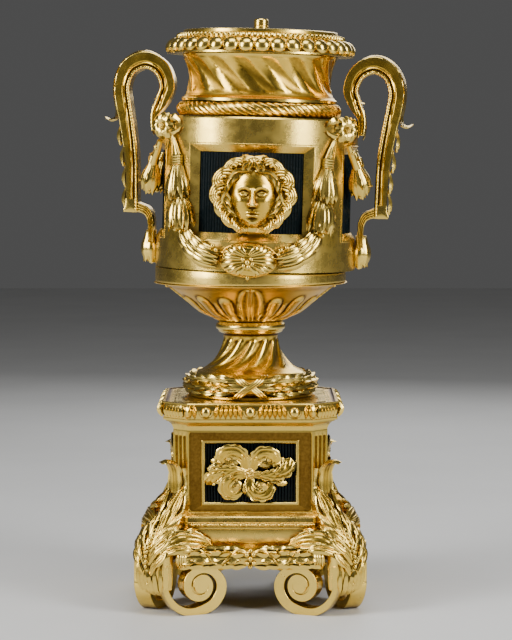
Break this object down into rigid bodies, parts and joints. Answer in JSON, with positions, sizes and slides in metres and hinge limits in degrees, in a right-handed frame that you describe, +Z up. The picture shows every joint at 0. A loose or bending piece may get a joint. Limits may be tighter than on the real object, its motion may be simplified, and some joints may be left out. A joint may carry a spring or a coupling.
{
  "type": "mantel urn",
  "caption": "Two-handled gilt bronze mantel urn with masks, swags and dark reeded windows, on a square plinth with scroll feet.",
  "frame": {"origin": "middle of the whole urn's underside, on the surface the feet stand on", "axes": "+Z up; +X to the viewer's right, square to the plinth's sides; the front mask and swag face -Y, and the vase with its handles is turned -4 degrees about +Z (4 degrees clockwise seen from above)"},
  "size_m": [0.2462, 0.208, 0.4636],
  "materials": {
    "gilt": "burnished mercury gilding on chased bronze, darker in the hollows",
    "gilt_satin": "smooth satin gilding with a fine brushed grain and light wear",
    "gilt_warm": "burnished gilding with a redder, warmer tone",
    "dark_reeded": "near-black blue-green lacquer over fine vertical reeding, glossy"
  },
  "bodies": {
    "root": {"tie_rod": "gilt_satin", "rim": "gilt", "neck": "gilt", "rope_collar": "gilt", "drum_cage": "gilt_satin", "drum_liner": "dark_reeded", "handle_left": "gilt", "handle_right": "gilt", "rosette_front_left": "gilt", "rosette_front_right": "gilt", "rosette_back_left": "gilt", "rosette_back_right": "gilt", "tassel_front_left": "gilt", "tassel_front_right": "gilt", "tassel_back_left": "gilt", "tassel_back_right": "gilt", "garland_front": "gilt", "garland_back": "gilt", "mask_front": "gilt", "mask_back": "gilt", "base_ring": "gilt_satin", "bowl": "gilt_warm", "stem": "gilt", "plinth_cap": "gilt", "plinth_case": "gilt_satin", "plinth_panel_front": "dark_reeded", "plinth_panel_right": "dark_reeded", "plinth_panel_back": "dark_reeded", "plinth_panel_left": "dark_reeded", "panel_ornament_front": "gilt", "panel_ornament_right": "gilt", "panel_ornament_back": "gilt", "panel_ornament_left": "gilt", "laurel_roll_front": "gilt", "laurel_roll_right": "gilt", "laurel_roll_back": "gilt", "laurel_roll_left": "gilt", "corner_foot_front_left": "gilt", "corner_foot_front_right": "gilt", "corner_foot_back_left": "gilt", "corner_foot_back_right": "gilt"}
  },
  "joints": []
}
